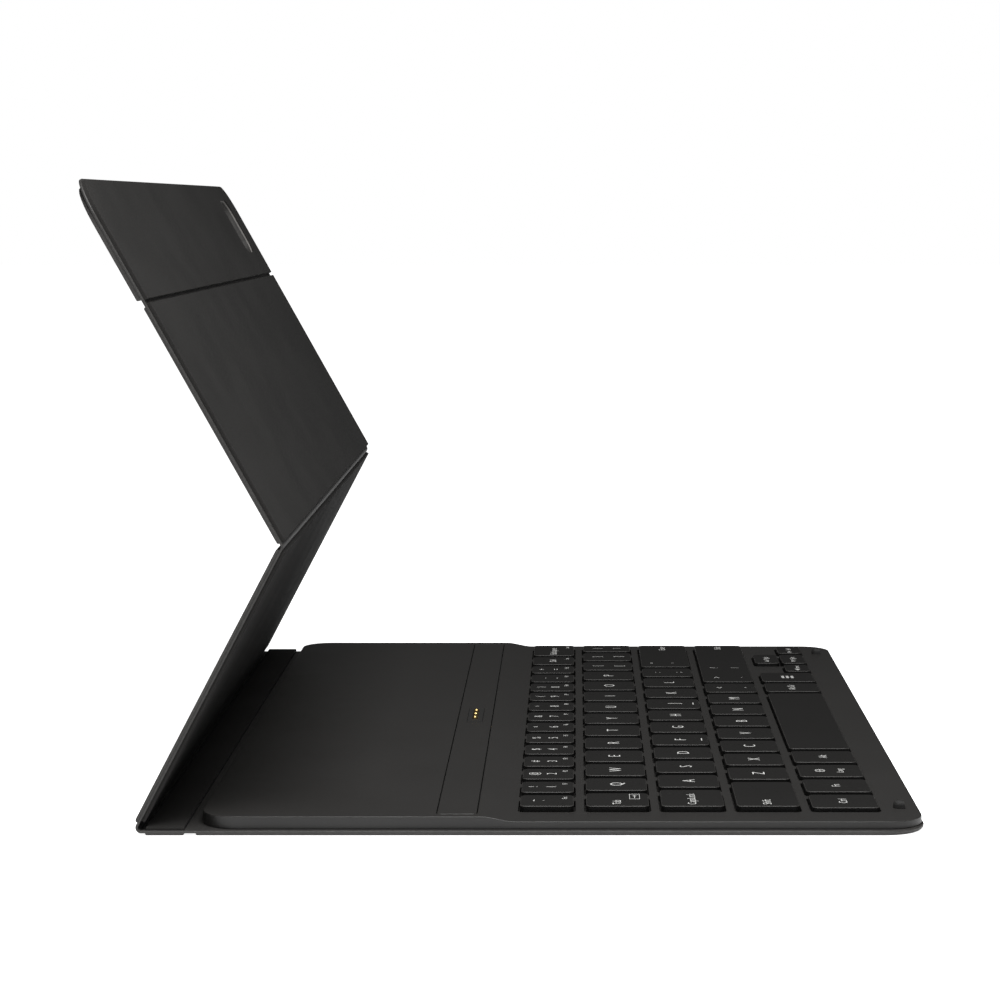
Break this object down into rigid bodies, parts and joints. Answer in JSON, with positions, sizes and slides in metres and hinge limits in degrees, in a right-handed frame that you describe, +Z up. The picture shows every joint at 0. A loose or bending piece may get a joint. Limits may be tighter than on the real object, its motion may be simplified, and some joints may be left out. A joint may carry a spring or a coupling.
{
  "type": "tablet keyboard case",
  "caption": "Thin keyboard in a folding tablet cover, with a stand, a leaning tablet holder, a pen flap and a connector strip with sprung pins.",
  "frame": {"origin": "on the desk under the middle of the keyboard case", "axes": "+X to the typist's right along the case, +Y from the typist to the stand, +Z up from the desk"},
  "size_m": [0.2544, 0.1914, 0.1479],
  "materials": {
    "cover": "fine-grained soft synthetic leather, dark graphite, matte",
    "skin": "smooth synthetic leather outer skin, cut edges dark, matte",
    "lining": "short brushed microfibre, near black",
    "stiffener": "pressed glass-fibre board",
    "deck": "fine satin moulded plastic, warm near black",
    "keycap": "smooth matte coated plastic, darker than the deck",
    "rubber": "soft matte rubber",
    "steel": "rolled sheet steel",
    "magnet": "nickel-plated magnet",
    "film": "printed polyester film",
    "board": "green solder mask",
    "gold": "gold-plated contacts, polished"
  },
  "bodies": {
    "base": {"base_pad": "cover", "base_skin": "skin", "bottom_plate": "steel", "switch_membrane": "film", "top_case": "deck", "connector_strip": "deck", "contact_block": "rubber", "strip_magnet_left": "magnet", "strip_magnet_right": "magnet", "controller_board": "board", "ribbon_cable": "film", "bumper_left": "rubber", "bumper_right": "rubber"},
    "spine": {"spine_pad": "cover", "spine_skin": "skin", "spine_stiffener": "stiffener", "spine_lining": "lining"},
    "stand": {"stand_pad": "cover", "stand_skin": "skin", "stand_stiffener": "stiffener", "stand_lining": "lining"},
    "holder": {"holder_pad": "cover", "holder_skin": "skin", "holder_stiffener": "stiffener", "holder_lining": "lining", "holder_magnet_left": "magnet", "holder_magnet_right": "magnet"},
    "pen_flap": {"flap_pad": "cover", "flap_skin": "skin", "flap_stiffener": "stiffener", "flap_lining": "lining"},
    "contact_pin_left_body": {"contact_pin_left": "gold"},
    "contact_pin_middle_body": {"contact_pin_middle": "gold"},
    "contact_pin_right_body": {"contact_pin_right": "gold"},
    "key_grave_body": {"key_grave": "keycap"},
    "key_delete_body": {"key_delete": "keycap"},
    "key_backspace_body": {"key_backspace": "keycap"},
    "key_tab_body": {"key_tab": "keycap"},
    "key_backslash_body": {"key_backslash": "keycap"},
    "key_caps_lock_body": {"key_caps_lock": "keycap"},
    "key_enter_body": {"key_enter": "keycap"},
    "key_shift_left_body": {"key_shift_left": "keycap"},
    "key_shift_right_body": {"key_shift_right": "keycap"},
    "key_control_body": {"key_control": "keycap"},
    "key_function_body": {"key_function": "keycap"},
    "key_language_body": {"key_language": "keycap"},
    "key_alt_left_body": {"key_alt_left": "keycap"},
    "key_space_body": {"key_space": "keycap"},
    "key_alt_right_body": {"key_alt_right": "keycap"},
    "key_menu_body": {"key_menu": "keycap"},
    "key_arrow_left_body": {"key_arrow_left": "keycap"},
    "key_arrow_down_body": {"key_arrow_down": "keycap"},
    "key_arrow_up_body": {"key_arrow_up": "keycap"},
    "key_arrow_right_body": {"key_arrow_right": "keycap"},
    "keys_number_row_body": {"keys_number_row": "keycap"},
    "keys_upper_row_body": {"keys_upper_row": "keycap"},
    "keys_home_row_body": {"keys_home_row": "keycap"},
    "keys_lower_row_body": {"keys_lower_row": "keycap"}
  },
  "joints": [
    {"name": "spine_fold", "type": "hinge", "parent": "base", "child": "spine", "pos_m": [0, 0.084, 0.00085], "axis": [1, 0, 0], "range_deg": [0, 90]},
    {"name": "stand_fold", "type": "hinge", "parent": "spine", "child": "stand", "pos_m": [0, 0.09665, 0.00085], "axis": [1, 0, 0], "range_deg": [-27.8, 0]},
    {"name": "holder_fold", "type": "hinge", "parent": "stand", "child": "holder", "pos_m": [0, 0.06264, 0.06555], "axis": [1, 0, 0], "range_deg": [-50, 56.8]},
    {"name": "pen_flap_fold", "type": "hinge", "parent": "holder", "child": "pen_flap", "pos_m": [0, 0.09303, 0.12016], "axis": [1, 0, 0], "range_deg": [-90, 0]},
    {"name": "contact_pin_left_press", "type": "slide", "parent": "base", "child": "contact_pin_left_body", "axis": [0, 0, 1], "range_m": [-0.0007, 0], "stiffness_N_per_m": 400},
    {"name": "contact_pin_middle_press", "type": "slide", "parent": "base", "child": "contact_pin_middle_body", "axis": [0, 0, 1], "range_m": [-0.0007, 0], "stiffness_N_per_m": 400},
    {"name": "contact_pin_right_press", "type": "slide", "parent": "base", "child": "contact_pin_right_body", "axis": [0, 0, 1], "range_m": [-0.0007, 0], "stiffness_N_per_m": 400},
    {"name": "key_grave_press", "type": "slide", "parent": "base", "child": "key_grave_body", "axis": [0, 0, 1], "range_m": [-0.001, 0], "stiffness_N_per_m": 600},
    {"name": "key_delete_press", "type": "slide", "parent": "base", "child": "key_delete_body", "axis": [0, 0, 1], "range_m": [-0.001, 0], "stiffness_N_per_m": 600},
    {"name": "key_backspace_press", "type": "slide", "parent": "base", "child": "key_backspace_body", "axis": [0, 0, 1], "range_m": [-0.001, 0], "stiffness_N_per_m": 600},
    {"name": "key_tab_press", "type": "slide", "parent": "base", "child": "key_tab_body", "axis": [0, 0, 1], "range_m": [-0.001, 0], "stiffness_N_per_m": 600},
    {"name": "key_backslash_press", "type": "slide", "parent": "base", "child": "key_backslash_body", "axis": [0, 0, 1], "range_m": [-0.001, 0], "stiffness_N_per_m": 600},
    {"name": "key_caps_lock_press", "type": "slide", "parent": "base", "child": "key_caps_lock_body", "axis": [0, 0, 1], "range_m": [-0.001, 0], "stiffness_N_per_m": 600},
    {"name": "key_enter_press", "type": "slide", "parent": "base", "child": "key_enter_body", "axis": [0, 0, 1], "range_m": [-0.001, 0], "stiffness_N_per_m": 600},
    {"name": "key_shift_left_press", "type": "slide", "parent": "base", "child": "key_shift_left_body", "axis": [0, 0, 1], "range_m": [-0.001, 0], "stiffness_N_per_m": 600},
    {"name": "key_shift_right_press", "type": "slide", "parent": "base", "child": "key_shift_right_body", "axis": [0, 0, 1], "range_m": [-0.001, 0], "stiffness_N_per_m": 600},
    {"name": "key_control_press", "type": "slide", "parent": "base", "child": "key_control_body", "axis": [0, 0, 1], "range_m": [-0.001, 0], "stiffness_N_per_m": 600},
    {"name": "key_function_press", "type": "slide", "parent": "base", "child": "key_function_body", "axis": [0, 0, 1], "range_m": [-0.001, 0], "stiffness_N_per_m": 600},
    {"name": "key_language_press", "type": "slide", "parent": "base", "child": "key_language_body", "axis": [0, 0, 1], "range_m": [-0.001, 0], "stiffness_N_per_m": 600},
    {"name": "key_alt_left_press", "type": "slide", "parent": "base", "child": "key_alt_left_body", "axis": [0, 0, 1], "range_m": [-0.001, 0], "stiffness_N_per_m": 600},
    {"name": "key_space_press", "type": "slide", "parent": "base", "child": "key_space_body", "axis": [0, 0, 1], "range_m": [-0.001, 0], "stiffness_N_per_m": 600},
    {"name": "key_alt_right_press", "type": "slide", "parent": "base", "child": "key_alt_right_body", "axis": [0, 0, 1], "range_m": [-0.001, 0], "stiffness_N_per_m": 600},
    {"name": "key_menu_press", "type": "slide", "parent": "base", "child": "key_menu_body", "axis": [0, 0, 1], "range_m": [-0.001, 0], "stiffness_N_per_m": 600},
    {"name": "key_arrow_left_press", "type": "slide", "parent": "base", "child": "key_arrow_left_body", "axis": [0, 0, 1], "range_m": [-0.001, 0], "stiffness_N_per_m": 600},
    {"name": "key_arrow_down_press", "type": "slide", "parent": "base", "child": "key_arrow_down_body", "axis": [0, 0, 1], "range_m": [-0.001, 0], "stiffness_N_per_m": 600},
    {"name": "key_arrow_up_press", "type": "slide", "parent": "base", "child": "key_arrow_up_body", "axis": [0, 0, 1], "range_m": [-0.001, 0], "stiffness_N_per_m": 600},
    {"name": "key_arrow_right_press", "type": "slide", "parent": "base", "child": "key_arrow_right_body", "axis": [0, 0, 1], "range_m": [-0.001, 0], "stiffness_N_per_m": 600},
    {"name": "keys_number_row_press", "type": "slide", "parent": "base", "child": "keys_number_row_body", "axis": [0, 0, 1], "range_m": [-0.001, 0], "stiffness_N_per_m": 1200},
    {"name": "keys_upper_row_press", "type": "slide", "parent": "base", "child": "keys_upper_row_body", "axis": [0, 0, 1], "range_m": [-0.001, 0], "stiffness_N_per_m": 1200},
    {"name": "keys_home_row_press", "type": "slide", "parent": "base", "child": "keys_home_row_body", "axis": [0, 0, 1], "range_m": [-0.001, 0], "stiffness_N_per_m": 1200},
    {"name": "keys_lower_row_press", "type": "slide", "parent": "base", "child": "keys_lower_row_body", "axis": [0, 0, 1], "range_m": [-0.001, 0], "stiffness_N_per_m": 1200}
  ],
  "couplings": [
    {"joint": "stand_fold", "follows": "spine_fold", "ratio": -0.3081}
  ]
}
